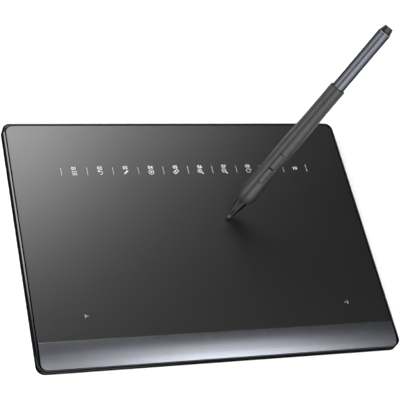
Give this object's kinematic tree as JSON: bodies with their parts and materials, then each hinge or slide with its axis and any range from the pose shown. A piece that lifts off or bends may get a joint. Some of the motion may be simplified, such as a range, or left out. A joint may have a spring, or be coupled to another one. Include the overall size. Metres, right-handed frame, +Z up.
{
  "type": "graphics tablet with pen",
  "caption": "Thin flat drawing tablet with a matte film and a curved silver front strip; its pen with a swelling grip and side buttons stands on the film on its nib.",
  "frame": {"origin": "middle of the tablet's footprint, on the plane of its feet's undersides", "axes": "+X to the user's right along the tablet's long side, +Y away from the user to the edge with the cable socket, +Z up"},
  "size_m": [0.2244, 0.1674, 0.1352],
  "materials": {
    "film": "satin black drawing film with printed marks",
    "adhesive": "thin double-sided adhesive sheet",
    "housing_plastic": "fine-grained black moulding",
    "silver_trim": "glossy silver sheet with a clear face",
    "circuit_board": "green solder mask on glass fibre",
    "insulating_film": "clear polyester sheet",
    "plated_steel": "tin-plated sheet",
    "foam": "open-cell foam",
    "black_resin": "moulded black resin",
    "ribbon_film": "amber polyimide ribbon",
    "screw_steel": "blackened steel",
    "nose_plastic": "glossy black moulding",
    "barrel_plastic": "plain black moulding",
    "grip_rubber": "soft-touch black rubber",
    "button_plastic": "satin black moulding",
    "barrel_metal": "dark grey satin anodised tube",
    "cap_ring_plastic": "dark grey ring",
    "cap_plastic": "black moulding",
    "nib_plastic": "hard black nib",
    "ferrite": "sintered dark grey ferrite",
    "copper_wire": "enamelled copper winding",
    "ceramic": "tan ceramic chip",
    "switch_metal": "stamped steel cover",
    "foot_rubber": "black rubber"
  },
  "bodies": {
    "tablet": {"drawing_film": "film", "film_adhesive": "adhesive", "front_trim": "silver_trim", "trim_adhesive": "adhesive", "top_housing": "housing_plastic", "bottom_housing": "housing_plastic", "sensor_board": "circuit_board", "insulating_sheet": "insulating_film", "shield_plate": "plated_steel", "foam_pad": "foam", "controller_board": "circuit_board", "controller_chip": "black_resin", "oscillator_can": "plated_steel", "usb_shell": "plated_steel", "usb_tongue": "black_resin", "ribbon_connectors": "black_resin", "sensor_ribbon": "ribbon_film", "housing_screws": "screw_steel", "rubber_foot_front_left": "foot_rubber", "rubber_foot_front_right": "foot_rubber", "rubber_foot_rear_left": "foot_rubber", "rubber_foot_rear_right": "foot_rubber"},
    "pen": {"nose_cone": "nose_plastic", "front_barrel": "barrel_plastic", "grip_sleeve": "grip_rubber", "rear_barrel": "barrel_metal", "cap_ring": "cap_ring_plastic", "end_cap": "cap_plastic", "ferrite_core": "ferrite", "sensing_coil": "copper_wire", "pressure_sensor": "black_resin", "pen_carrier": "barrel_plastic", "pen_board": "circuit_board", "tuning_capacitors": "ceramic", "lower_switch": "switch_metal", "upper_switch": "switch_metal"},
    "pen_point": {"nib": "nib_plastic", "nib_plunger": "barrel_plastic"},
    "lower_pad": {"lower_button": "button_plastic"},
    "upper_pad": {"upper_button": "button_plastic"}
  },
  "joints": [
    {"name": "pen_lift", "type": "slide", "parent": "tablet", "child": "pen", "axis": [0, 0, 1], "range_m": [0, 0.1]},
    {"name": "nib_press", "type": "slide", "parent": "pen", "child": "pen_point", "axis": [0.4786, 0.3289, 0.8141], "range_m": [0, 0.0006], "stiffness_N_per_m": 3000, "springref_m": -0.0001},
    {"name": "lower_button_press", "type": "slide", "parent": "pen", "child": "lower_pad", "axis": [0.4367, 0.7152, -0.5457], "range_m": [0, 0.0005], "stiffness_N_per_m": 3000, "springref_m": -0.0001},
    {"name": "upper_button_press", "type": "slide", "parent": "pen", "child": "upper_pad", "axis": [0.4367, 0.7152, -0.5457], "range_m": [0, 0.0005], "stiffness_N_per_m": 3000, "springref_m": -0.0001}
  ]
}
